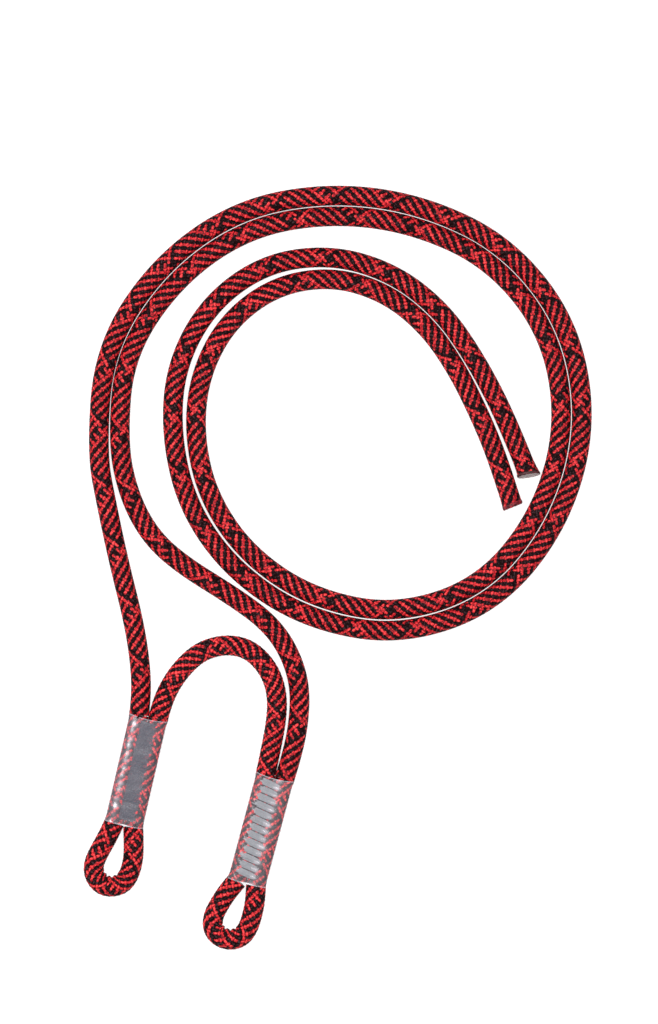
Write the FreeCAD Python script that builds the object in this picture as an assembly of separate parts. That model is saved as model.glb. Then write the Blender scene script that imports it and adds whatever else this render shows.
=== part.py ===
import FreeCAD, Part

# Arborist's rope tether, in millimetres.
#
# One length of 11 mm kernmantle rope: a braided sheath over a core. Near its middle the
# rope is folded into two eyes. Each eye's two legs are sewn together and covered by a clear
# shrink sleeve. A short bridge of the same rope joins the two sewn eyes, and a long tail
# leaves each of them. The tails lie side by side in a flat, single-layer coil and end in
# cuts sealed with heat.
#
# Frame: +Z up, the rope lies on the plane z = 0, and the eyes point towards -Y. The origin
# is the bottom centre of the whole object's box.

import math
import os

from FreeCAD import Placement, Rotation, Vector

# Rope
ROPE_DIAMETER = 11.0
CORE_DIAMETER = 8.0
ROPE_HEIGHT = ROPE_DIAMETER / 2.0  # the centreline's height over the floor
SEAL_LENGTH = 1.5  # sheath and core melted together at a cut end

# Sewn splice under a sleeve
LEG_DIAMETER = 10.0  # the stitching squeezes the rope
LEG_SPACING = 10.6
NECK_LENGTH = 4.0  # just outside a sleeve the rope swells back to its full diameter
OVERRUN = 3.0  # a stretch is made this far into the sleeve, then cut flush with its mouth
SLEEVE_LENGTH = 60.0
SLEEVE_WALL = 0.5
STITCH_ROWS = 13
STITCH_PITCH = 4.2
STITCH_LENGTH = 3.0  # each row of thread, along the rope
STITCH_WIDTH = 8.6  # each row of thread, across the two legs

# Each splice: its centre on the floor plan, and how far its axis leans from +Y towards +X
SPLICES = {
    "a": {"centre": (-110.0, -110.5), "lean": 13.0},
    "b": {"centre": (-42.0, -142.5), "lean": 15.0},
}

# The arcs of a route take this share of the shorter of their two runs
ARC_SHARE = 0.45

# The coil: one point every COIL_STEP degrees, clockwise from COIL_START, at these radii
# from the coil's centre. Tail a lies outside tail b all the way.
COIL_CENTRE = (1.5, 85.0)
COIL_START = 165.0
COIL_STEP = 24.0
COIL_RADII_A = (
    133.5, 127.5, 124.0, 120.0, 121.5, 128.5, 133.5, 134.5,
    134.0, 134.0, 126.5, 114.5, 105.0, 98.5, 93.5, 93.5,
    93.0, 91.0, 86.0, 81.0, 78.0, 79.0, 91.0,
)
COIL_RADII_B = (
    122.0, 116.0, 112.5, 108.5, 110.0, 117.0, 122.0, 123.0,
    122.5, 122.5, 114.5, 102.5, 93.0, 86.0, 81.0, 79.5,
    79.0, 77.5, 74.0, 69.5, 66.5, 67.5, 77.0,
)

# Route points between a sleeve and the coil, and from the coil to the cut end
LEAD_A = ((-107.0, -68.5), (-108.0, -50.0), (-111.5, -28.5), (-119.5, 3.5), (-125.8, 33.0),
          (-131.5, 63.0))
LEAD_B = ((-25.9, -105.0), (-21.5, -86.0), (-20.5, -64.5), (-26.5, -45.5), (-37.5, -30.0),
          (-55.5, -16.5), (-87.0, 3.0), (-103.5, 19.0), (-114.5, 41.0), (-120.0, 69.0))
RUN_OUT_A = ((104.0, 50.5),)
RUN_OUT_B = ((88.0, 57.0), (95.0, 34.5))

# Route points of the bridge, from sleeve a to sleeve b, between the two mouths
BRIDGE_POINTS = ((-96.0, -74.0), (-91.0, -63.0), (-84.0, -53.5), (-75.5, -46.0),
                 (-66.0, -42.5), (-57.0, -42.0), (-48.5, -44.5), (-41.0, -51.0),
                 (-35.5, -60.0), (-33.0, -71.0), (-33.7, -84.0), (-37.1, -101.5))

# Route points of the eyes, from the left leg round the loop to the right leg
EYE_POINTS = {
    "a": ((-125.0, -145.5), (-131.0, -156.0), (-133.5, -162.5), (-132.5, -168.5),
          (-128.5, -173.0), (-123.0, -174.0), (-117.0, -172.0), (-113.5, -166.5),
          (-111.5, -158.5), (-111.3, -149.5)),
    "b": ((-60.0, -176.0), (-64.5, -183.0), (-68.0, -189.5), (-68.5, -196.0),
          (-65.0, -201.0), (-59.0, -203.0), (-53.0, -201.5), (-49.0, -196.5),
          (-46.5, -188.5), (-45.0, -180.5)),
}


def on_floor(point):
    """The rope's centreline over one point of the floor plan."""
    return Vector(point[0], point[1], ROPE_HEIGHT)


def splice_placement(name):
    """Takes a splice's own frame, +Y along its legs and away from the eye, to its place."""
    splice = SPLICES[name]
    return Placement(on_floor(splice["centre"]), Rotation(Vector(0, 0, 1), -splice["lean"]))


def mouth(name, side, end):
    """Centre of a leg where it leaves the sleeve: side -1 left or 1 right, end 1 is the tails' end."""
    local = Vector(side * LEG_SPACING / 2.0, end * SLEEVE_LENGTH / 2.0, 0.0)
    return splice_placement(name).multVec(local)


def coil_points(radii):
    """One route point for each radius, clockwise round the coil's centre."""
    points = []
    for index, radius in enumerate(radii):
        angle = math.radians(COIL_START - COIL_STEP * index)
        x = COIL_CENTRE[0] + radius * math.cos(angle)
        y = COIL_CENTRE[1] + radius * math.sin(angle)
        points.append((x, y))
    return points


def rope_edges(route, trim_start, trim_end):
    """Straight runs joined by tangent arcs, less a length at either end, and the arcs' radii."""
    edges = []
    radii = []
    first_run = (route[1] - route[0]).normalize()
    last_run = (route[-1] - route[-2]).normalize()
    position = route[0] + first_run * trim_start
    for before, corner, after in zip(route, route[1:], route[2:]):
        run_in = corner - before
        run_out = after - corner
        reach = ARC_SHARE * min(run_in.Length, run_out.Length)
        half_turn = run_in.getAngle(run_out) / 2.0
        radius = reach / math.tan(half_turn)
        arc_start = corner - run_in.normalize() * reach
        arc_end = corner + run_out.normalize() * reach
        inward = (run_out - run_in).normalize()
        arc_middle = corner + inward * (radius / math.cos(half_turn) - radius)
        edges.append(Part.LineSegment(position, arc_start).toShape())
        edges.append(Part.Arc(arc_start, arc_middle, arc_end).toShape())
        radii.append(radius)
        position = arc_end
    edges.append(Part.LineSegment(position, route[-1] - last_run * trim_end).toShape())
    return edges, radii


def tube(edges, diameter):
    """A round bar swept along tangent edges."""
    path = Part.Wire(edges)
    first = edges[0]
    start = first.Vertexes[0].Point
    direction = first.tangentAt(first.FirstParameter)
    profile = Part.Wire([Part.makeCircle(diameter / 2.0, start, direction)])
    return path.makePipeShell([profile], True, False)


def neck(tip, beside):
    """Cone through a sleeve's mouth, from inside it to where the rope is full size again."""
    outwards = (beside - tip).normalize()
    swell = (ROPE_DIAMETER - LEG_DIAMETER) / 2.0 / NECK_LENGTH
    inner_radius = LEG_DIAMETER / 2.0 - swell * OVERRUN
    inner_end = tip - outwards * OVERRUN
    return Part.makeCone(inner_radius, ROPE_DIAMETER / 2.0, OVERRUN + NECK_LENGTH, inner_end, outwards)


def splice_block(name):
    """A block between a sleeve's two mouths that reaches past the rope on every side."""
    width = 3.0 * LEG_SPACING
    corner = Vector(-width / 2.0, -SLEEVE_LENGTH / 2.0, -ROPE_DIAMETER)
    block = Part.makeBox(width, SLEEVE_LENGTH, 2.0 * ROPE_DIAMETER, corner)
    return placed(block, splice_placement(name))


def rope_stretch(name, route, splices, sealed):
    """Sheath and core of one stretch that starts at the first splice and ends at the last.

    A sealed stretch starts at its one splice and ends at its cut. The arcs' radii are printed,
    and the core's volume is compared with its section times its length.
    """
    core_edges, radii = rope_edges(route, -OVERRUN, SEAL_LENGTH if sealed else -OVERRUN)
    core = tube(core_edges, CORE_DIAMETER)
    length = sum(edge.Length for edge in core_edges)
    expected = length * math.pi * CORE_DIAMETER ** 2 / 4.0
    print("%-8s length %7.1f  radii %5.1f to %7.1f  volume / (section x length) %.4f"
          % (name, length, min(radii), max(radii), core.Volume / expected))

    body_edges = rope_edges(route, NECK_LENGTH, SEAL_LENGTH if sealed else NECK_LENGTH)[0]
    body = tube(body_edges, ROPE_DIAMETER).fuse(neck(route[0], route[1]))
    if not sealed:
        body = body.fuse(neck(route[-1], route[-2]))
    sheath = body.cut(core)
    for splice in splices:
        sheath = sheath.cut(splice_block(splice))
        core = core.cut(splice_block(splice))
    return sheath, core


def end_seal(route):
    """Disc of melted sheath and core at a tail's cut end."""
    direction = (route[-1] - route[-2]).normalize()
    start = route[-1] - direction * SEAL_LENGTH
    return Part.makeCylinder(ROPE_DIAMETER / 2.0, SEAL_LENGTH, start, direction)


def leg_bar(side, diameter):
    """A round bar where one leg runs under the sleeve, in the splice's own frame."""
    start = Vector(side * LEG_SPACING / 2.0, -SLEEVE_LENGTH / 2.0, 0.0)
    return Part.makeCylinder(diameter / 2.0, SLEEVE_LENGTH, start, Vector(0, 1, 0))


def leg_sheaths():
    """The two squeezed legs of sheath."""
    return [leg_bar(side, LEG_DIAMETER).cut(leg_bar(side, CORE_DIAMETER)) for side in (-1, 1)]


def leg_cores():
    """The two legs of core."""
    return [leg_bar(side, CORE_DIAMETER) for side in (-1, 1)]


def stitch_rows():
    """Rows of thread that fill the hollows between the legs, front and back."""
    rows = []
    first = -STITCH_PITCH * (STITCH_ROWS - 1) / 2.0 - STITCH_LENGTH / 2.0
    for index in range(STITCH_ROWS):
        corner = Vector(-STITCH_WIDTH / 2.0, first + STITCH_PITCH * index, -LEG_DIAMETER / 2.0)
        row = Part.makeBox(STITCH_WIDTH, STITCH_LENGTH, LEG_DIAMETER, corner)
        for side in (-1, 1):
            row = row.cut(leg_bar(side, LEG_DIAMETER))
        rows.append(row)
    return rows


def rounded_band(radius):
    """Outline of two legs side by side, in the plane across them at the sleeve's lower end."""
    start_y = -SLEEVE_LENGTH / 2.0
    half = LEG_SPACING / 2.0
    left_low = Vector(-half, start_y, -radius)
    left_high = Vector(-half, start_y, radius)
    left_far = Vector(-half - radius, start_y, 0.0)
    right_low = Vector(half, start_y, -radius)
    right_high = Vector(half, start_y, radius)
    right_far = Vector(half + radius, start_y, 0.0)
    return Part.Wire([
        Part.LineSegment(left_low, right_low).toShape(),
        Part.Arc(right_low, right_far, right_high).toShape(),
        Part.LineSegment(right_high, left_high).toShape(),
        Part.Arc(left_high, left_far, left_low).toShape(),
    ])


def sleeve():
    """Clear shrink tube round both legs, in the splice's own frame."""
    along = Vector(0, SLEEVE_LENGTH, 0)
    outside = Part.Face(rounded_band(LEG_DIAMETER / 2.0 + SLEEVE_WALL)).extrude(along)
    inside = Part.Face(rounded_band(LEG_DIAMETER / 2.0)).extrude(along)
    return outside.cut(inside)


def placed(shape, placement):
    """A copy of a shape at its place."""
    copy = shape.copy()
    copy.Placement = placement
    return copy


def add_stretch(nodes, name, route, splices, sealed):
    """Adds one stretch's sheath and core to the nodes."""
    sheath, core = rope_stretch(name, route, splices, sealed)
    nodes[name + "_sheath"] = [sheath]
    nodes[name + "_core"] = [core]


def build():
    """Every sub-part: its node's name and its solids."""
    nodes = {}
    tail_routes = {
        "a": [mouth("a", -1, 1)]
        + [on_floor(point) for point in (*LEAD_A, *coil_points(COIL_RADII_A), *RUN_OUT_A)],
        "b": [mouth("b", 1, 1)]
        + [on_floor(point) for point in (*LEAD_B, *coil_points(COIL_RADII_B), *RUN_OUT_B)],
    }
    for name, route in tail_routes.items():
        add_stretch(nodes, "tail_" + name, route, (name,), True)
        nodes["end_seal_" + name] = [end_seal(route)]

    bridge_route = [mouth("a", 1, 1)] + [on_floor(point) for point in BRIDGE_POINTS]
    bridge_route.append(mouth("b", -1, 1))
    add_stretch(nodes, "bridge", bridge_route, ("a", "b"), False)

    for name in SPLICES:
        eye_route = [mouth(name, -1, -1)] + [on_floor(point) for point in EYE_POINTS[name]]
        eye_route.append(mouth(name, 1, -1))
        add_stretch(nodes, "eye_" + name, eye_route, (name,), False)
        splice = {
            "splice_legs": leg_sheaths(),
            "splice_cores": leg_cores(),
            "stitching": stitch_rows(),
            "sleeve": [sleeve()],
        }
        for part_name, solids in splice.items():
            placement = splice_placement(name)
            nodes[part_name + "_" + name] = [placed(solid, placement) for solid in solids]
    return nodes


def write(nodes):
    """One STEP file for each node."""
    os.makedirs("parts", exist_ok=True)
    for name, solids in nodes.items():
        shape = solids[0] if len(solids) == 1 else Part.makeCompound(solids)
        shape.exportStep("parts/" + name + ".step")
        print("%-16s solids %2d  volume %9.1f  valid %s"
              % (name, len(shape.Solids), shape.Volume, shape.isValid()))
    whole = Part.makeCompound([solid for solids in nodes.values() for solid in solids])
    box = whole.optimalBoundingBox()
    print("box  x %.2f to %.2f  y %.2f to %.2f  z %.2f to %.2f"
          % (box.XMin, box.XMax, box.YMin, box.YMax, box.ZMin, box.ZMax))


write(build())
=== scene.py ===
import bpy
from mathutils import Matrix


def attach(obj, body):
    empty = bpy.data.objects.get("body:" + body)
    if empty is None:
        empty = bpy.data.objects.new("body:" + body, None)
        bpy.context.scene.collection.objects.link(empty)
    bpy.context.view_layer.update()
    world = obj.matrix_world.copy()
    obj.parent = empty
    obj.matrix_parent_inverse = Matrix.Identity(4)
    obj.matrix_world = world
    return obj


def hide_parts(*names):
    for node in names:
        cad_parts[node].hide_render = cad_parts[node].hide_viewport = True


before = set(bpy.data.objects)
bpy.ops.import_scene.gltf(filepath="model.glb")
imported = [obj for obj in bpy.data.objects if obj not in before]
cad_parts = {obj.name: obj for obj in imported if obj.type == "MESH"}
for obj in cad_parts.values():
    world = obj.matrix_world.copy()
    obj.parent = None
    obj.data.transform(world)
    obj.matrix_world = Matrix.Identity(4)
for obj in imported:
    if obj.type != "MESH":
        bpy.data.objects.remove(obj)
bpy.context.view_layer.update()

# The looks of an arborist's rope tether with two sewn eyes, in metres, in the CAD part's frame.
#
# The camera and the rope's lines come first. The braided sheath is a mesh built on the two
# families of strands that really cross in it, and the core, the sewn legs, the thread, the
# shrink sleeves and the cut ends follow the same lines.

import math

import bpy
import numpy as np
from mathutils import Vector

# ---------------------------------------------------------------- camera, floor and light

VIEW_CENTRE = (-0.0049, 0.0305)
VIEW_HEIGHT = 0.5581
CAMERA_DISTANCE = 3.0
SENSOR = 36.0
ROPE_HEIGHT = 0.0055
FLOOR_SIZE = 30.0
# Each light's place, the side of its square and its power in watts
LIGHTS = {
    "key": ((-0.75, 0.22, 1.5), 0.45, 22.0),
    "top": ((0.1, 0.2, 1.9), 0.8, 16.0),
    "fill": ((0.62, -0.2, 1.6), 0.9, 8.0),
}


def make_camera():
    """A long lens straight above the rope. Picture up is +Y."""
    data = bpy.data.cameras.new("camera")
    data.sensor_width = SENSOR
    data.lens = SENSOR * CAMERA_DISTANCE / VIEW_HEIGHT
    camera = bpy.data.objects.new("camera", data)
    camera.location = (*VIEW_CENTRE, ROPE_HEIGHT + CAMERA_DISTANCE)
    bpy.context.scene.collection.objects.link(camera)
    bpy.context.scene.camera = camera


def make_light(name, location, size, power):
    """A square soft box that faces the origin."""
    data = bpy.data.lights.new(name, "AREA")
    data.size = size
    data.energy = power
    light = bpy.data.objects.new(name, data)
    light.location = location
    light.rotation_mode = "QUATERNION"
    light.rotation_quaternion = (-Vector(location)).to_track_quat("-Z", "Y")
    bpy.context.scene.collection.objects.link(light)


def make_world(colour, strength):
    """An even pale surround."""
    world = bpy.data.worlds.new("surround")
    world.use_nodes = True
    background = world.node_tree.nodes["Background"]
    background.inputs["Color"].default_value = (*colour, 1.0)
    background.inputs["Strength"].default_value = strength
    bpy.context.scene.world = world


make_camera()
make_world((1.0, 1.0, 1.0), 0.30)
for light_name, (location, size, power) in LIGHTS.items():
    make_light(light_name, location, size, power)
bpy.context.scene.view_settings.view_transform = "Standard"

# ---------------------------------------------------------------- the rope's lines

ROPE_DIAMETER = 0.011
LEG_DIAMETER = 0.010
LEG_SPACING = 0.0106
SLEEVE_LENGTH = 0.060
NECK_LENGTH = 0.004
SPLICES = {
    "a": {"centre": (-0.1100, -0.1105), "lean": math.radians(13.0)},
    "b": {"centre": (-0.0420, -0.1425), "lean": math.radians(15.0)},
}

# The coil: one point every COIL_STEP, clockwise from COIL_START, at these radii
COIL_CENTRE = (0.0015, 0.0850)
COIL_START = math.radians(165.0)
COIL_STEP = math.radians(24.0)
COIL_RADII_A = (
    0.1335, 0.1275, 0.1240, 0.1200, 0.1215, 0.1285, 0.1335, 0.1345,
    0.1340, 0.1340, 0.1265, 0.1145, 0.1050, 0.0985, 0.0935, 0.0935,
    0.0930, 0.0910, 0.0860, 0.0810, 0.0780, 0.0790, 0.0910,
)
COIL_RADII_B = (
    0.1220, 0.1160, 0.1125, 0.1085, 0.1100, 0.1170, 0.1220, 0.1230,
    0.1225, 0.1225, 0.1145, 0.1025, 0.0930, 0.0860, 0.0810, 0.0795,
    0.0790, 0.0775, 0.0740, 0.0695, 0.0665, 0.0675, 0.0770,
)
LEAD_A = (
    (-0.1070, -0.0685), (-0.1080, -0.0500), (-0.1115, -0.0285), (-0.1195, 0.0035),
    (-0.1258, 0.0330), (-0.1315, 0.0630),
)
LEAD_B = (
    (-0.0259, -0.1050), (-0.0215, -0.0860), (-0.0205, -0.0645), (-0.0265, -0.0455),
    (-0.0375, -0.0300), (-0.0555, -0.0165), (-0.0870, 0.0030), (-0.1035, 0.0190),
    (-0.1145, 0.0410), (-0.1200, 0.0690),
)
RUN_OUT_A = ((0.1040, 0.0505),)
RUN_OUT_B = ((0.0880, 0.0570), (0.0950, 0.0345))
BRIDGE_POINTS = (
    (-0.0960, -0.0740), (-0.0910, -0.0630), (-0.0840, -0.0535), (-0.0755, -0.0460),
    (-0.0660, -0.0425), (-0.0570, -0.0420), (-0.0485, -0.0445), (-0.0410, -0.0510),
    (-0.0355, -0.0600), (-0.0330, -0.0710), (-0.0337, -0.0840), (-0.0371, -0.1015),
)
EYE_POINTS_A = (
    (-0.1250, -0.1455), (-0.1310, -0.1560), (-0.1335, -0.1625), (-0.1325, -0.1685),
    (-0.1285, -0.1730), (-0.1230, -0.1740), (-0.1170, -0.1720), (-0.1135, -0.1665),
    (-0.1115, -0.1585), (-0.1113, -0.1495),
)
EYE_POINTS_B = (
    (-0.0600, -0.1760), (-0.0645, -0.1830), (-0.0680, -0.1895), (-0.0685, -0.1960),
    (-0.0650, -0.2010), (-0.0590, -0.2030), (-0.0530, -0.2015), (-0.0490, -0.1965),
    (-0.0465, -0.1885), (-0.0450, -0.1805),
)


def splice_point(name, across, along):
    """Floor plan point at a place in a splice's own frame: along its legs and across them."""
    centre, lean = SPLICES[name]["centre"], SPLICES[name]["lean"]
    x = centre[0] + across * math.cos(lean) + along * math.sin(lean)
    y = centre[1] - across * math.sin(lean) + along * math.cos(lean)
    return x, y


def mouth(name, side, end):
    """Where a leg leaves its sleeve: side -1 left or 1 right, end 1 is the tails' end."""
    return splice_point(name, side * LEG_SPACING / 2.0, end * SLEEVE_LENGTH / 2.0)


def coil_points(radii):
    """One point for each radius, clockwise round the coil's centre."""
    angles = [COIL_START - COIL_STEP * index for index in range(len(radii))]
    return [
        (COIL_CENTRE[0] + radius * math.cos(angle), COIL_CENTRE[1] + radius * math.sin(angle))
        for radius, angle in zip(radii, angles)
    ]


def spline_line(name, points):
    """The points along the smooth line that has these floor plan points as its control points."""
    data = bpy.data.curves.new(name, "CURVE")
    data.dimensions = "3D"
    data.resolution_u = 32
    spline = data.splines.new("NURBS")
    spline.points.add(len(points) - 1)
    for item, point in zip(spline.points, points):
        item.co = (*point, ROPE_HEIGHT, 1.0)
    spline.order_u = 3
    spline.use_endpoint_u = True
    holder = bpy.data.objects.new(name, data)
    bpy.context.scene.collection.objects.link(holder)
    bpy.context.view_layer.update()
    mesh = bpy.data.meshes.new_from_object(holder)
    line = np.array([vertex.co for vertex in mesh.vertices], float)
    bpy.data.objects.remove(holder)
    bpy.data.meshes.remove(mesh)
    return line


def straight_line(start, end):
    """Points a millimetre apart along a leg under its sleeve."""
    share = np.linspace(0.0, 1.0, 61)[:, None]
    start, end = (np.array((*point, ROPE_HEIGHT)) for point in (start, end))
    return start + (end - start) * share


def line_length(line):
    """Length of a line of points."""
    return float(np.linalg.norm(np.diff(line, axis=0), axis=1).sum())


LINES = {
    "tail_a": spline_line(
        "tail_a", [mouth("a", -1, 1), *LEAD_A, *coil_points(COIL_RADII_A), *RUN_OUT_A]
    ),
    "tail_b": spline_line(
        "tail_b", [mouth("b", 1, 1), *LEAD_B, *coil_points(COIL_RADII_B), *RUN_OUT_B]
    ),
    "bridge": spline_line(
        "bridge", [mouth("a", 1, 1), *BRIDGE_POINTS, mouth("b", -1, 1)]
    ),
    "eye_a": spline_line("eye_a", [mouth("a", -1, -1), *EYE_POINTS_A, mouth("a", 1, -1)]),
    "eye_b": spline_line("eye_b", [mouth("b", -1, -1), *EYE_POINTS_B, mouth("b", 1, -1)]),
}
for splice in SPLICES:
    for word, side in (("left", -1), ("right", 1)):
        LINES[f"leg_{splice}_{word}"] = straight_line(
            mouth(splice, side, -1), mouth(splice, side, 1)
        )

# ---------------------------------------------------------------- meshes along a line

TANGENT_REACH = 0.0008  # a line's direction is taken over this far each side of a place
# What is left free at each strip's edges on the map that a sheath is baked on
STRIP_END_MARGIN = 0.01
STRIP_SIDE_MARGIN = 0.02


def frames_at(line, stations):
    """Centre, tangent and left-hand side of a line at these distances along it.

    The line runs straight on past its end.
    """
    steps = np.linalg.norm(np.diff(line, axis=0), axis=1)
    run = np.concatenate([[0.0], np.cumsum(steps)])
    past = np.maximum(stations - run[-1], 0.0)[:, None]
    stations = np.minimum(stations, run[-1])
    centre, ahead, behind = (
        np.stack([np.interp(stations + step, run, line[:, k]) for k in range(3)], axis=1)
        for step in (0.0, TANGENT_REACH, -TANGENT_REACH)
    )
    tangent = ahead - behind
    tangent /= np.linalg.norm(tangent, axis=1)[:, None]
    centre = centre + past * tangent
    left = np.cross((0.0, 0.0, 1.0), tangent)
    return centre, tangent, left


def add_piece(name, vertices, faces, materials, cells=None):
    """A smooth mesh that rides on the one body. cells gives each face's material."""
    mesh = bpy.data.meshes.new(name)
    mesh.from_pydata(vertices.tolist(), [], faces.tolist())
    for material in materials:
        mesh.materials.append(material)
    if cells is not None:
        mesh.polygons.foreach_set("material_index", np.asarray(cells, np.int32))
    mesh.polygons.foreach_set("use_smooth", np.ones(len(faces), bool))
    mesh.update()
    piece = bpy.data.objects.new(name, mesh)
    bpy.context.scene.collection.objects.link(piece)
    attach(piece, "root")
    return piece


def add_corner_map(piece, name, corners):
    """A UV map from one pair of numbers for each face corner."""
    layer = piece.data.uv_layers.new(name=name)
    layer.data.foreach_set("uv", np.asarray(corners, np.float32).ravel())


def add_point_value(piece, name, values):
    """A number on each vertex that materials can read."""
    attribute = piece.data.attributes.new(name, "FLOAT", "POINT")
    attribute.data.foreach_set("value", np.asarray(values, np.float32).ravel())


# ---------------------------------------------------------------- the braided sheath
#
# Twelve strands wind each way round, one over and one under. A place on the sheath has a
# coordinate in each family, a whole number on a strand's middle. Red and black take turns in
# both families, but two neighbours are switched in each, so the stripes turn the other way
# where those cross.

STRANDS = 12
RELIEF = 0.00032  # a strand's crown stands this far above the edges of its float
GROOVE = 0.00024  # depth of the groove between the two yarns of a strand
SLENDER = 0.13  # how far a float is longer than a strand's spacing, and narrower, at each edge
FIRST_SWITCHED = (5, 6)
SECOND_SWITCHED = (7, 8)
GATHER_SPAN = (0.3, 0.7)  # the shares of a line between which its extra strands are gathered
GATHER_STATIONS = 400
FAMILY_OFFSET = 400.0  # sets the two families' fibres apart in the materials' noise


def strand_relief(first, second):
    """Height of the sheath's surface where strands of the two families cross."""
    from_first, from_second = first - np.rint(first), second - np.rint(second)
    first_over, _ = strand_on_top(first, second)
    across = np.where(first_over, from_first, from_second)
    along = np.where(first_over, from_second, from_first)
    in_middle = np.abs(across) < 0.25
    groove = np.where(in_middle, np.cos(2.0 * math.pi * across) ** 2, 0.0)
    crown = np.cos(math.pi * across) + np.cos(math.pi * along) - 1.0
    return RELIEF * crown - GROOVE * groove * np.cos(math.pi * along)


def strand_on_top(first, second):
    """Whether the first family's strand is the upper one, and whether the upper one is red."""
    a, b = np.rint(first), np.rint(second)
    over = (a + b) % 2 == 0
    first_red = (a % 2 == 1) ^ np.isin(a % STRANDS, FIRST_SWITCHED)
    second_red = (b % 2 == 0) ^ np.isin(b % STRANDS, SECOND_SWITCHED)
    return over, np.where(over, first_red, second_red)


def braid_sheath(name, line, radius_at, braid, trim=None, bulge=None):
    """A braided tube whose triangles follow the strands' edges, with its end rings square.

    braid holds the strands' pitch, their coordinates on the tube's top where the line starts,
    the twist of the whole pattern in strands per metre, how many strands more are gathered up
    in the line's middle, the flow, which is 1 where the rope as a whole runs along this line
    and -1 where it runs against it, and how fine the mesh is, in steps to a strand.
    trim takes some length off the end, by the angle round the tube. bulge adds to the radius.
    """
    pitch, flow, fine = braid["pitch"], braid["flow"], braid["fine"]
    length = line_length(line)
    step = pitch / STRANDS / fine
    turned = -flow * (braid["first"] + braid["second"]) / 2.0
    origin = -flow * (braid["first"] - braid["second"]) / 2.0 * pitch / STRANDS
    around = STRANDS * fine
    even = np.linspace(0.0, length, GATHER_STATIONS)
    gathered = even + braid["gather"] * pitch / STRANDS * smooth_step(even / length, *GATHER_SPAN)
    m = np.arange(
        math.floor(-origin / step), math.ceil((gathered[-1] - origin) / step) + 1
    )[:, None]
    n = np.arange(around + 1)[None, :]
    first, second = flow * (n + m) / fine, flow * (n - m) / fine
    slender_along = step * fine * SLENDER / 2.0 * np.sin(2.0 * math.pi * n / fine)
    stations = np.interp(origin + m * step - slender_along, gathered, even)
    turns = n / fine + turned + braid["twist"] * stations
    turns = (turns - SLENDER / 2.0 * np.sin(2.0 * math.pi * m / fine)) / STRANDS
    angle = 2.0 * math.pi * turns
    if trim is not None:
        stations = stations - trim(stations, angle, length)

    relief = strand_relief(first, second)
    radius = radius_at(stations) - RELIEF / 2.0 + relief
    if bulge is not None:
        radius = radius + bulge(stations, angle, length)
    places = tube_places(line, stations, angle, radius)

    triangles = braid_triangles(m.ravel(), around, flow, fine)
    corner_m, corner_n = triangles[..., 0], triangles[..., 1]
    faces = corner_m * around + corner_n % around
    corner_first, corner_second = first[corner_m, corner_n], second[corner_m, corner_n]
    over, red = strand_on_top(corner_first.mean(axis=1), corner_second.mean(axis=1))

    piece = add_piece(
        name, places[:, :-1].reshape(-1, 3), faces, [BLACK_STRAND, RED_STRAND], red
    )
    over = over[:, None]
    along_strand = np.where(over, corner_second, corner_first + FAMILY_OFFSET)
    across_strand = np.where(over, corner_first, corner_second)
    add_corner_map(piece, "weave", np.stack([along_strand, across_strand], axis=-1))
    # Each place's height on the strands, which the strand materials turn into painted shade in the
    # gaps and a painted highlight on the crowns
    add_point_value(piece, "crown", (relief / RELIEF * 0.5 + 0.5)[:, :-1])
    add_strip_map(piece, corner_m, corner_n / around, len(m) - 1, length)
    return piece


def braid_triangles(m, around, flow, fine):
    """The grid's squares as triangles, each square cut along the strand edge that crosses it.

    m counts the grid's rings, and each corner is given by its ring's and its own place.
    """
    low_m, low_n = (
        x.ravel() for x in np.meshgrid(range(len(m) - 1), range(around), indexing="ij")
    )
    count_m, half = low_m + m[0], fine // 2
    edge_of_second = flow * (low_n - count_m) % fine == half
    edge_of_first = flow * (low_n + count_m + 1) % fine == half
    rising = edge_of_second | (~edge_of_first & ((low_m + low_n) % 2 == 0))
    corners = [(low_m, low_n), (low_m + 1, low_n), (low_m + 1, low_n + 1), (low_m, low_n + 1)]
    square = np.stack([np.stack(corner, axis=1) for corner in corners], axis=1)
    return np.concatenate(
        [
            square[rising][:, (0, 1, 2)],
            square[rising][:, (0, 2, 3)],
            square[~rising][:, (0, 1, 3)],
            square[~rising][:, (1, 2, 3)],
        ]
    )


def smooth_step(value, low, high):
    """Rises smoothly from 0 at low to 1 at high."""
    share = np.clip((value - low) / (high - low), 0.0, 1.0)
    return share * share * (3.0 - 2.0 * share)


def necked(full, squeezed, length, at_end):
    """A rope's radius along a stretch that is squeezed where it meets a sleeve."""

    def radius_at(stations):
        away = stations if not at_end else np.minimum(stations, length - stations)
        return squeezed + (full - squeezed) * smooth_step(away, 0.0, NECK_LENGTH)

    return radius_at


def tube_places(line, stations, angle, radius):
    """Places on a tube round a line, by distance along it and angle from its top to its left.

    The tube is flattened a little where it rests on the floor.
    """
    centre, _, left = frames_at(line, stations.ravel())
    out = np.cos(angle.ravel())[:, None] * (0.0, 0.0, 1.0)
    out = out + np.sin(angle.ravel())[:, None] * left
    places = centre + radius.ravel()[:, None] * out
    places[:, 2] = np.maximum(places[:, 2], 0.0)
    return places.reshape(*stations.shape, 3)


def add_strip_map(piece, corner_m, share_round, rings, length):
    """The map that the piece is baked on: its surface unrolled into strips, one over another."""
    strips = max(1, round(math.sqrt(length / (math.pi * ROPE_DIAMETER))))
    per_strip = math.ceil(rings / strips)
    strip = corner_m.min(axis=1)[:, None] // per_strip
    across = (corner_m - strip * per_strip) / per_strip
    across = STRIP_END_MARGIN + (1.0 - 2.0 * STRIP_END_MARGIN) * across
    up = STRIP_SIDE_MARGIN + (1.0 - 2.0 * STRIP_SIDE_MARGIN) * share_round
    up = (strip + up) / strips
    add_corner_map(piece, "OFBake", np.stack([across, up], axis=-1))


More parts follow.
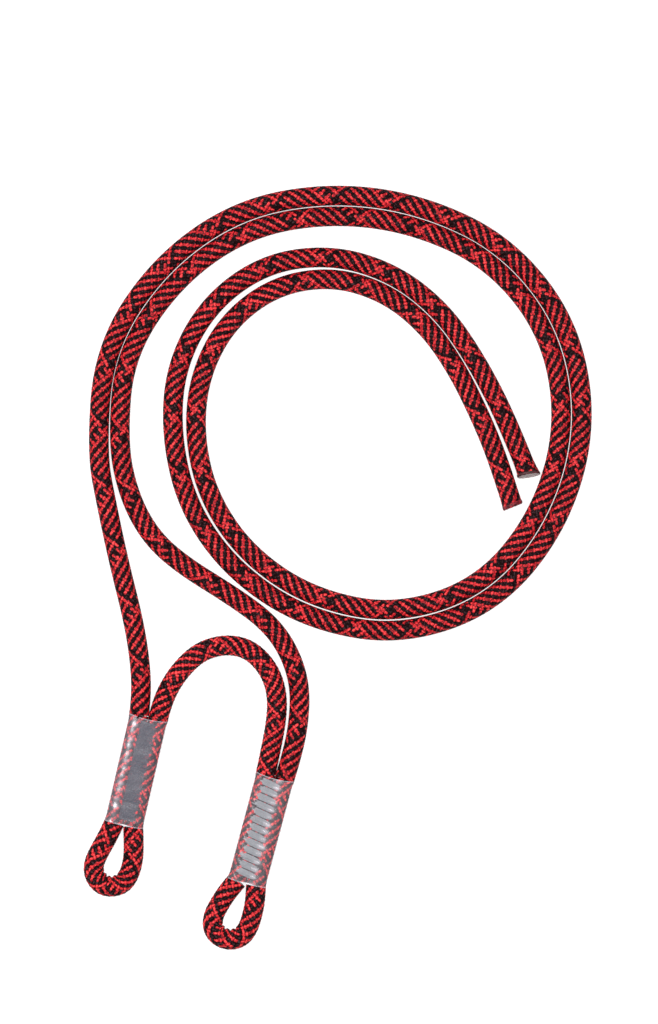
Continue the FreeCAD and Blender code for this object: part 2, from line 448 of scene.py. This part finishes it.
def grid_faces(rings, around):
    """Squares between closed rings of points."""
    m, n = (x.ravel() for x in np.meshgrid(range(rings - 1), range(around), indexing="ij"))
    after = (n + 1) % around
    return np.stack(
        [m * around + n, (m + 1) * around + n, (m + 1) * around + after, m * around + after],
        axis=1,
    )


# ---------------------------------------------------------------- materials


class Shader:
    """A material with a Principled shader and short ways to add nodes to it."""

    def __init__(self, name, **settings):
        self.material = bpy.data.materials.new(name)
        self.material.use_nodes = True
        self.tree = self.material.node_tree
        self.surface = self.tree.nodes["Principled BSDF"]
        for socket, value in settings.items():
            self.surface.inputs[socket.replace("_", " ")].default_value = value

    def node(self, kind, inputs=(), **settings):
        """A node of this kind. inputs pairs each socket with a value or another socket."""
        node = self.tree.nodes.new("ShaderNode" + kind)
        for key, value in settings.items():
            setattr(node, key, value)
        for socket, value in dict(inputs).items():
            if isinstance(value, bpy.types.NodeSocket):
                self.tree.links.new(value, node.inputs[socket])
            else:
                node.inputs[socket].default_value = value
        return node

    def link(self, output, socket):
        """Joins an output to one of the surface's sockets."""
        self.tree.links.new(output, self.surface.inputs[socket])

    def maths(self, operation, a, b):
        """One step of arithmetic on two numbers or sockets."""
        return self.node("Math", {0: a, 1: b}, operation=operation).outputs[0]

    def noise(self, places, scale, detail):
        """Soft noise at these places."""
        inputs = {"Vector": places, "Scale": scale, "Detail": detail}
        return self.node("TexNoise", inputs).outputs["Fac"]

    def stretched(self, places, scale):
        """These places scaled by its own number along each axis."""
        return self.node("Mapping", {"Vector": places, "Scale": scale}).outputs["Vector"]

    def ramp(self, factor, stops):
        """Colours or greys along a number. stops pairs each place with its colour."""
        node = self.node("ValToRGB", {"Fac": factor})
        elements = node.color_ramp.elements
        while len(elements) < len(stops):
            elements.new(0.5)
        for element, (place, colour) in zip(elements, stops):
            element.position = place
            element.color = (*colour, 1.0)
        return node.outputs["Color"]

    def bump(self, height, strength, distance):
        """Puts a height on the surface's normal."""
        node = self.node(
            "Bump", {"Height": height, "Strength": strength, "Distance": distance}
        )
        self.link(node.outputs["Normal"], "Normal")


def strand_material(name, stops, specular, sheen_tint):
    """Twisted filament yarns: fibres along the strand, uneven, with painted shade in the gaps and
    a painted highlight on the crowns.

    The lower a place lies between the strands, the lower on the ramp of stops it takes its
    colour, so the ramp paints shade into the gaps and light onto the crowns, and the fibres and
    blotches move it up or down.
    """
    shader = Shader(
        name, Roughness=0.55, Specular_IOR_Level=specular, Sheen_Weight=0.02,
        Sheen_Tint=(*sheen_tint, 1.0),
    )
    weave = shader.node("UVMap", uv_map="weave").outputs["UV"]
    fibres = shader.noise(shader.stretched(weave, (1.3, 9.0, 1.0)), 1.0, 3.0)
    blotches = shader.noise(shader.stretched(weave, (1.5, 1.5, 1.0)), 1.0, 2.0)
    crown = shader.node("Attribute", attribute_name="crown").outputs["Fac"]
    crown = shader.maths("POWER", crown, 0.8)
    variety = shader.maths("ADD", shader.maths("MULTIPLY", blotches, 3.0), fibres)
    # Height and tone together pick the colour: low places take painted shade, crowns a painted
    # highlight
    painted_shade_and_tone = shader.maths("MULTIPLY", crown, shader.maths("SUBTRACT", variety, 1.0))
    shader.link(shader.ramp(painted_shade_and_tone, stops), "Base Color")
    shader.bump(fibres, 0.5, 0.0003)
    return shader.material


# The low stops are painted shade between the strands, the top stop is a painted highlight on the
# crowns, and the middle stops are the red itself
RED_STRAND = strand_material(
    "red_strand",
    [
        (0.15, (0.014, 0.001, 0.002)),
        (0.42, (0.170, 0.003, 0.007)),
        (0.72, (0.560, 0.012, 0.020)),
        (1.00, (0.880, 0.075, 0.070)),
    ],
    0.15,
    (1.0, 0.4, 0.4),
)
# The low stops are painted shade between the strands and the top stop is a paler painted highlight
# on the crowns
BLACK_STRAND = strand_material(
    "black_strand",
    [
        (0.30, (0.004, 0.001, 0.001)),
        (0.70, (0.012, 0.003, 0.004)),
        (1.00, (0.050, 0.028, 0.033)),
    ],
    0.03,
    (0.6, 0.6, 0.7),
)


def thread_material(name, dark, light):
    """Polyester sewing thread: a fine lay along each thread and some that catch more light."""
    shader = Shader(name, Roughness=0.42, Sheen_Weight=0.3)
    weave = shader.node("UVMap", uv_map="weave").outputs["UV"]
    lay = shader.noise(shader.stretched(weave, (3.0, 9.0, 1.0)), 1.0, 3.0)
    shader.link(shader.ramp(lay, [(0.3, dark), (0.7, light)]), "Base Color")
    shader.bump(lay, 0.4, 0.0002)
    return shader.material


def film_material(name, tint, veil):
    """Clear shrink film: it shows more where it turns away and at its rims, and turns whiter in
    painted glare patches.
    """
    shader = Shader(
        name, Base_Color=(*tint, 1.0), Roughness=0.3, IOR=1.5, Coat_Weight=1.0,
        Coat_Roughness=0.15,
    )
    place = shader.node("TexCoord").outputs["Object"]
    haze = shader.noise(place, 260.0, 4.0)
    edge = shader.node("LayerWeight", {"Blend": 0.35}).outputs["Facing"]
    rim = shader.node("Attribute", attribute_name="rim").outputs["Fac"]
    painted_glare = shader.node("Attribute", attribute_name="painted_glare").outputs["Fac"]
    # Painted glare: the film is made whiter where this attribute is set
    glare_patches = shader.maths("MULTIPLY", painted_glare, shader.maths("ADD", haze, 0.2))
    steep = shader.maths("POWER", edge, 3.0)
    cover = shader.maths("ADD", shader.maths("MULTIPLY", haze, 0.05), veil)
    for part, share in ((steep, 0.2), (glare_patches, 0.8), (rim, 0.3)):
        cover = shader.maths("ADD", cover, shader.maths("MULTIPLY", part, share))
    shader.link(cover, "Alpha")
    shader.bump(haze, 0.35, 0.0004)
    return shader.material


def core_material():
    """Bundled light grey yarns, darker in their lay."""
    shader = Shader("core_yarn", Roughness=0.7, Sheen_Weight=0.3)
    place = shader.node("TexCoord").outputs["Object"]
    lay = shader.noise(place, 900.0, 3.0)
    shader.link(
        shader.ramp(lay, [(0.3, (0.30, 0.28, 0.28)), (0.7, (0.62, 0.60, 0.60))]), "Base Color"
    )
    shader.bump(lay, 0.6, 0.0003)
    return shader.material


def melted_material(name, dark, light):
    """Sheath and core fused by heat: uneven, with paler yarn ends."""
    shader = Shader(name, Roughness=0.6, Specular_IOR_Level=0.25)
    place = shader.node("TexCoord").outputs["Object"]
    blobs = shader.noise(place, 700.0, 3.0)
    shader.link(shader.ramp(blobs, [(0.35, dark), (0.65, light)]), "Base Color")
    shader.bump(blobs, 0.6, 0.0004)
    return shader.material


THREADS = {
    "a": thread_material("slate_thread", (0.006, 0.010, 0.024), (0.026, 0.034, 0.064)),
    "b": thread_material("silver_thread", (0.090, 0.100, 0.115), (0.330, 0.350, 0.380)),
}
FILMS = {
    "a": film_material("film_a", (0.62, 0.56, 0.64), 0.030),
    "b": film_material("film_b", (0.68, 0.63, 0.69), 0.030),
}
CORE = core_material()
SEALS = {
    "a": melted_material("cut_face_a", (0.300, 0.230, 0.235), (0.620, 0.600, 0.600)),
    "b": melted_material("cut_face_b", (0.080, 0.010, 0.014), (0.280, 0.060, 0.070)),
}
SEAL_RIMS = {
    "a": melted_material("cut_rim_a", (0.020, 0.014, 0.015), (0.110, 0.030, 0.034)),
    "b": melted_material("cut_rim_b", (0.030, 0.003, 0.005), (0.260, 0.016, 0.026)),
}

# ---------------------------------------------------------------- the rope's stretches

FULL = ROPE_DIAMETER / 2.0
LEG_PROUD = 0.0001  # a leg's sheath stands this far outside the CAD's
SQUEEZED = LEG_DIAMETER / 2.0 + LEG_PROUD
MOUTH_RADIUS = 0.0056  # where the tails and the bridge come out side by side, touching
EYE_MOUTH_RADIUS = 0.0055

# How the braid lies on each stretch, in the terms of braid_sheath
PLAIN = {"pitch": 0.0320, "first": 0.0, "second": 0.0, "twist": 0.0, "gather": 0.0, "flow": 1}
BRAIDS = {
    "tail_a": {
        **PLAIN, "pitch": 0.0332, "first": 1.5, "second": 8.6, "twist": 1.2, "flow": -1,
        "fine": 4,
    },
    "tail_b": {
        **PLAIN, "pitch": 0.0331, "first": 7.9, "second": 7.8, "twist": 1.9, "fine": 4,
    },
    "bridge": {
        **PLAIN, "pitch": 0.0310, "first": 8.0, "second": 2.2, "twist": 1.2, "fine": 8,
    },
    "eye_a": {**PLAIN, "pitch": 0.0327, "first": 11.4, "second": 10.3, "gather": 3.4, "fine": 8},
    "eye_b": {**PLAIN, "pitch": 0.0321, "first": 5.7, "second": 3.4, "twist": 30.0, "fine": 8},
    "leg": {**PLAIN, "fine": 6},
}

CORE_RECESS = 0.0020  # how far short of a tail's end the core's own yarns stop
# How each tail is cut: how far its sheath is drawn out past the line's end, how much shorter
# its right side and its top are, how far it flares and over what length, and how rounded the
# cut's edge is
CUTS = {
    "a": {
        "drawn": 0.0026, "side": 0.0025, "top": 0.0021, "flare": 0.0007, "reach": 0.010,
        "rounding": 1.0,
    },
    "b": {
        "drawn": 0.0008, "side": -0.0010, "top": 0.0003, "flare": 0.0002, "reach": 0.006,
        "rounding": 1.3,
    },
}

# The lumps that an eye's sheath gathers in on the inside of its bend
EYE_BEND = (0.30, 0.42, 0.58, 0.70)  # the lumps rise, stand and sink at these shares of the line
LUMP_SPACING = 0.0062
LUMP_HEIGHT = 0.0011
LUMP_BASE = 0.55  # the share of that height that lies below the plain tube

CORE_YARNS = 7
CORE_RADIUS = 0.0036
CORE_RING_SPACING = 0.0025
YARN_RELIEF = 0.0003
YARN_TWIST = 0.008  # the length in which the yarns turn by one radian

# Each ring of a sealed cut: its distance back from the cut, and its share of the rope's radius
SEAL_PROFILE = (
    (0.0016, 0.955), (0.0013, 1.000), (0.0007, 1.012), (0.0002, 0.995), (0.0000, 0.960),
    (-0.0002, 0.900), (-0.0001, 0.780), (0.0000, 0.640), (0.0001, 0.480), (0.0001, 0.320),
    (0.0000, 0.160), (0.0000, 0.002),
)
SEAL_AROUND = 96
SEAL_FACE_RING = 4  # from this ring inwards it is the cut's face
SEAL_UNEVEN_RADIUS = 0.012  # as a share of the radius
SEAL_UNEVEN_FACE = 0.00012
SEEDS = {"seal": 11, "thread": 5, "film": 3}


def cut_trim(cut):
    """What a slanting cut takes off a tail, by the angle round it."""

    def trim(stations, angle, length):
        near = smooth_step(stations, length - cut["reach"], length)
        side = cut["side"] * (1.0 - np.sin(angle)) / 2.0
        top = cut["top"] * (1.0 + np.cos(angle)) / 2.0
        return near * (side + top - cut["drawn"])

    return trim


def cut_radius(cut, length, radius_at):
    """A tail's radius with the flare of its sealed cut."""

    def flared(stations):
        near = np.clip((stations - length + cut["reach"]) / cut["reach"], 0.0, 1.0)
        return radius_at(stations) + cut["flare"] * near**2

    return flared


def eye_bulge(stations, angle, length):
    """The sheath gathers in rounded lumps on the inside of an eye's bend."""
    inside = np.clip(np.sin(angle), 0.0, 1.0) ** 1.5
    share = stations / length
    rise, stand, sink, end = EYE_BEND
    bend = smooth_step(share, rise, stand) * smooth_step(-share, -end, -sink)
    lumps = np.abs(np.cos(math.pi * (stations - length / 2.0) / LUMP_SPACING)) - LUMP_BASE
    return LUMP_HEIGHT * inside * bend * lumps


def core_bundle(name, line, replaced, short=0.0):
    """The core: seven twisted yarns, rounded together, ending this far short of the line's end."""
    length = line_length(line) - short
    rings, around = max(4, int(length / CORE_RING_SPACING)), 5 * CORE_YARNS
    stations = np.linspace(0.0, length, rings)[:, None] + np.zeros(around)
    angle = 2.0 * math.pi * np.arange(around) / around + np.zeros((rings, 1))
    lobes = np.abs(np.sin(CORE_YARNS / 2.0 * (angle + stations / YARN_TWIST)))
    places = tube_places(line, stations, angle, CORE_RADIUS + YARN_RELIEF * lobes)
    piece = add_piece(name, places.reshape(-1, 3), grid_faces(rings, around), [CORE])
    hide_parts(replaced)
    return piece


def end_seal(name, tail, cut):
    """A tail's sealed cut: a melted band round the sheath's last edge, and the face within it."""
    line = LINES["tail_" + tail]
    length = line_length(line)
    rings, around = len(SEAL_PROFILE), SEAL_AROUND
    angle = 2.0 * math.pi * np.arange(around)[None, :] / around
    back, share = (column[:, None] for column in np.array(SEAL_PROFILE).T)
    back = cut["rounding"] * back
    rng = np.random.default_rng(SEEDS["seal"])
    rough = rng.normal(0.0, 1.0, (rings, around))
    rough = (rough + np.roll(rough, 1, axis=1) + np.roll(rough, -1, axis=1)) / 3.0
    edge_trim = cut_trim(cut)(np.full((1, around), length), angle, length)
    middle_trim = edge_trim.mean()
    stations = length - back - (middle_trim + (edge_trim - middle_trim) * share)
    radius = (FULL + cut["flare"]) * share * (1.0 + SEAL_UNEVEN_RADIUS * rough)
    within_rim = share < 0.99
    stations = stations + SEAL_UNEVEN_FACE * rough * within_rim
    angle = angle + np.zeros_like(stations)
    places = tube_places(line, stations, angle, radius + np.zeros_like(stations))
    faces = grid_faces(rings, around)
    on_face = np.repeat(np.arange(rings - 1) >= SEAL_FACE_RING, around)
    piece = add_piece(
        name, places.reshape(-1, 3), faces, [SEAL_RIMS[tail], SEALS[tail]], on_face
    )
    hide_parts("end_seal_" + tail)
    return piece


for name in ("tail_a", "tail_b", "bridge", "eye_a", "eye_b"):
    line = LINES[name]
    length = line_length(line)
    tail = name[-1] if name.startswith("tail") else None
    is_eye = name.startswith("eye")
    mouth_radius = EYE_MOUTH_RADIUS if is_eye else MOUTH_RADIUS
    radius_at = necked(FULL, mouth_radius, length, tail is None)
    trim = bulge = None
    if tail:
        radius_at = cut_radius(CUTS[tail], length, radius_at)
        trim = cut_trim(CUTS[tail])
    if is_eye:
        bulge = eye_bulge
    sheath = braid_sheath(name + "_braid", line, radius_at, BRAIDS[name], trim, bulge)
    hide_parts(name + "_sheath")
    core_bundle(name + "_yarns", line, name + "_core", CORE_RECESS if tail else 0.0)
    [end_seal(f"tail_{tail}_cut", tail, CUTS[tail])] if tail else []

# ---------------------------------------------------------------- the sewn splices

THREAD_RADIUS = 0.00032
THREADS_IN_ROW = 6
STITCH_ROWS = 13
STITCH_PITCH = 0.0042
THREAD_POINTS = 15
THREAD_SIDES = 8
THREAD_FLATNESS = 0.85
END_DIP = 0.0016  # how far a thread's ends go down into the rope
# How much the threads differ in reach, height and place along the legs
REACH_SCATTER = 0.0004
LIFT_SCATTER = 0.00005
PLACE_SCATTER = 0.00004

SLEEVE_HALF_HEIGHT = 0.0055
FILM_RINGS = 240
FILM_AROUND = 128
FILM_FACES = (0.00005, -0.0001)  # the film's outer and inner face, from the sleeve's outline
WAIST = 2.6  # how sharply the outline turns in between the legs
MOUTH_BOW = (0.0005, 0.0, 0.0011)  # how far a sleeve's edge bows towards the eye, at each end
CREASES = 14
CREASE_HEIGHT = 0.000022
LIP_HEIGHT = 0.00012
LIP_WIDTH = 0.0006
LIP_FLARE = 60.0  # how much a lip widens the sleeve, as a share, for each metre of its height
RIM_WIDTH = 0.0004

# Each splice's stitching: its middle and half its width across the legs, each row's spread
# along them, how far a row gathers at its right end, how the rows slant, how far a row's middle
# stands above its edges, its height, and where and how strongly painted glare whitens the film
# over it
SEWING = {
    "a": {
        "middle": 0.0012, "reach": 0.0056, "spread": 0.0042, "gather": 0.0, "slant": -0.06,
        "crown": 0.0, "height": 0.00505,
        "painted_glare": {"place": -0.0068, "width": 0.0015, "patch": 0.40, "wash": 0.04},
    },
    "b": {
        "middle": -0.0014, "reach": 0.0062, "spread": 0.0037, "gather": 0.4, "slant": -0.16,
        "crown": 0.0005, "height": 0.0048,
        "painted_glare": {"place": 0.0027, "width": 0.0018, "patch": 0.60, "wash": 0.01},
    },
}


def splice_places(name, local):
    """Takes places in a splice's own frame, across, along and up, to the floor plan's frame."""
    centre, lean = SPLICES[name]["centre"], SPLICES[name]["lean"]
    across, along, up = np.moveaxis(local, -1, 0)
    return np.stack(
        [
            centre[0] + across * math.cos(lean) + along * math.sin(lean),
            centre[1] - across * math.sin(lean) + along * math.cos(lean),
            np.maximum(ROPE_HEIGHT + up, 0.0),
        ],
        axis=-1,
    )


def stitch_threads(name):
    """Rows of thread across the two legs, on top and underneath, ending inside the rope."""
    sewing = SEWING[name]
    rng = np.random.default_rng(SEEDS["thread"])
    share = np.linspace(-1.0, 1.0, THREAD_POINTS)
    ring = 2.0 * math.pi * np.arange(THREAD_SIDES) / THREAD_SIDES
    vertices, faces, weave = [], [], []
    for row in range(STITCH_ROWS):
        for thread in range(THREADS_IN_ROW):
            place = (thread + 0.5) / THREADS_IN_ROW - 0.5
            row_middle = (row - (STITCH_ROWS - 1) / 2.0) * STITCH_PITCH
            fanned = 1.0 - sewing["gather"] * smooth_step(share, 0.2, 1.0)
            along = row_middle + place * sewing["spread"] * fanned
            crown = sewing["crown"] * math.cos(math.pi * place)
            reach = sewing["reach"] + rng.normal(0.0, REACH_SCATTER)
            lift = rng.normal(0.0, LIFT_SCATTER)
            for side in (1.0, -1.0):
                across = sewing["middle"] + share * reach
                line_along = along + sewing["slant"] * across + rng.normal(0.0, PLACE_SCATTER)
                up = side * (sewing["height"] + crown + lift - END_DIP * np.abs(share) ** 6)
                local = np.stack(
                    [
                        across[:, None] + 0.0 * ring,
                        line_along[:, None] + THREAD_RADIUS * np.cos(ring),
                        up[:, None] + side * THREAD_FLATNESS * THREAD_RADIUS * np.sin(ring),
                    ],
                    axis=-1,
                )
                start = len(vertices) * local.shape[0] * local.shape[1]
                vertices.append(splice_places(name, local).reshape(-1, 3))
                loops = grid_faces(len(share), len(ring))
                if side < 0:
                    loops = loops[:, ::-1]
                faces.append(loops + start)
                # A place in the material's noise along the thread, and one of its own across it
                weave.append(
                    np.stack(
                        [loops // len(ring) * 0.4 + row, loops % len(ring) + thread * 9.0],
                        axis=-1,
                    )
                )
    piece = add_piece(
        f"stitching_{name}_thread", np.concatenate(vertices), np.concatenate(faces),
        [THREADS[name]],
    )
    add_corner_map(piece, "weave", np.concatenate(weave))
    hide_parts("stitching_" + name)
    return piece


def sleeve_profile(turn, grow):
    """Across and up on a sleeve's section: two legs' outlines with a shallow waist between."""
    across = (LEG_SPACING / 2.0) * np.tanh(WAIST * np.cos(turn)) / math.tanh(WAIST)
    across = across + (SLEEVE_HALF_HEIGHT + grow) * np.cos(turn)
    up = (SLEEVE_HALF_HEIGHT + grow) * np.sign(np.sin(turn)) * np.abs(np.sin(turn)) ** 0.62
    return across, up


def film_painted_glare(name, across, row_phase):
    """Painted glare on a sleeve's film: a patch beside each row and a wash to their left."""
    painted_glare = SEWING[name]["painted_glare"]
    patch = np.exp(-(((across - painted_glare["place"]) / painted_glare["width"]) ** 2))
    on_row = 0.5 + 0.5 * np.cos(row_phase)
    patch = painted_glare["patch"] * patch * (0.2 + 0.8 * on_row**1.5)
    row_by_row = 0.75 + 0.35 * np.sin(0.37 * row_phase)
    patch = patch * row_by_row
    return patch + painted_glare["wash"] * smooth_step(-across, 0.0025, 0.0060)


def sleeve_film(name):
    """A thin tube of film round both legs, creased, with ribs where thread lifts it."""
    rings, around, half_length = FILM_RINGS, FILM_AROUND, SLEEVE_LENGTH / 2.0
    sewing = SEWING[name]
    turn = 2.0 * math.pi * np.arange(around) / around
    along = np.linspace(-half_length, half_length, rings)
    layers, painted_glares = [], []
    for grow in FILM_FACES:
        rng = np.random.default_rng(SEEDS["film"])
        across, up = (x[None, :] + np.zeros((rings, 1)) for x in sleeve_profile(turn, grow))
        bow = 1.0 - (across / (LEG_SPACING / 2.0 + SLEEVE_HALF_HEIGHT)) ** 2
        most = np.interp(along, (-half_length, 0.0, half_length), MOUTH_BOW)
        bowed = along[:, None] - bow * most[:, None]
        crease = np.zeros((rings, around))
        for _ in range(CREASES):
            tilt, count = rng.uniform(-3.0, 3.0), rng.integers(1, 6)
            wave = rng.uniform(200.0, 900.0)
            crease += np.sin(wave * along[:, None] + count * turn[None, :] + tilt)
        beside = (across - sewing["middle"]) / sewing["reach"]
        near_thread = np.exp(-(beside**4)) * (up > 0.0)
        row_phase = 2.0 * math.pi * (along[:, None] - sewing["slant"] * across) / STITCH_PITCH
        rib = sewing["crown"] * 0.5 * (np.cos(row_phase) + 1.0) * near_thread
        lip = LIP_HEIGHT * np.exp(-((np.abs(along[:, None]) - half_length) / LIP_WIDTH) ** 2)
        height = np.abs(up) / SLEEVE_HALF_HEIGHT
        up = up + np.sign(up) * height * (CREASE_HEIGHT * crease + lip) + rib
        local = np.stack([across * (1.0 + lip * LIP_FLARE), bowed, up], axis=-1)
        layers.append(splice_places(name, local).reshape(-1, 3))
        # Painted glare, on the film's top only
        painted_glares.append((film_painted_glare(name, across, row_phase) * (up > 0.0)).ravel())
    outer = grid_faces(rings, around)
    inner = outer[:, ::-1] + rings * around
    n, after = np.arange(around), (np.arange(around) + 1) % around
    last, offset = (rings - 1) * around, rings * around
    caps = [
        np.stack([n, after, after + offset, n + offset], axis=1),
        np.stack([last + after, last + n, last + n + offset, last + after + offset], axis=1),
    ]
    piece = add_piece(
        f"sleeve_{name}_film",
        np.concatenate(layers),
        np.concatenate([outer, inner, *caps]),
        [FILMS[name]],
    )
    end = np.exp(-((np.abs(along) - half_length) / RIM_WIDTH) ** 2)
    add_point_value(piece, "rim", np.tile(np.repeat(end, around), 2))
    # The painted glare, for the film material
    add_point_value(piece, "painted_glare", np.concatenate(painted_glares))
    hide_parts("sleeve_" + name)
    return piece


def leg_radius(stations):
    """A leg's radius under its sleeve, opening out at both mouths to meet the rope there."""
    top = smooth_step(stations, SLEEVE_LENGTH - NECK_LENGTH, SLEEVE_LENGTH)
    bottom = smooth_step(-stations, -NECK_LENGTH, 0.0)
    opening = (MOUTH_RADIUS - SQUEEZED) * top + (EYE_MOUTH_RADIUS - SQUEEZED) * bottom
    return SQUEEZED + opening


for splice in SPLICES:
    for word in ("left", "right"):
        line = LINES[f"leg_{splice}_{word}"]
        leg = braid_sheath(f"leg_{splice}_{word}_braid", line, leg_radius, BRAIDS["leg"])
        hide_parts("splice_legs_" + splice)
        core_bundle(f"leg_{splice}_{word}_yarns", line, "splice_cores_" + splice)
    stitch_threads(splice)
    sleeve_film(splice)

# ---------------------------------------------------------------- floor

floor_mesh = bpy.data.meshes.new("floor")
half_floor = FLOOR_SIZE / 2.0
floor_mesh.from_pydata(
    [
        (-half_floor, -half_floor, 0.0),
        (half_floor, -half_floor, 0.0),
        (half_floor, half_floor, 0.0),
        (-half_floor, half_floor, 0.0),
    ],
    [],
    [(0, 1, 2, 3)],
)
floor = bpy.data.objects.new("floor", floor_mesh)
bpy.context.scene.collection.objects.link(floor)
floor_mesh.materials.append(
    Shader(
        "floor",
        Base_Color=(0.25, 0.25, 0.25, 1.0),
        Roughness=0.9,
        Emission_Color=(1.0, 1.0, 1.0, 1.0),
        Emission_Strength=0.9,
    ).material
)
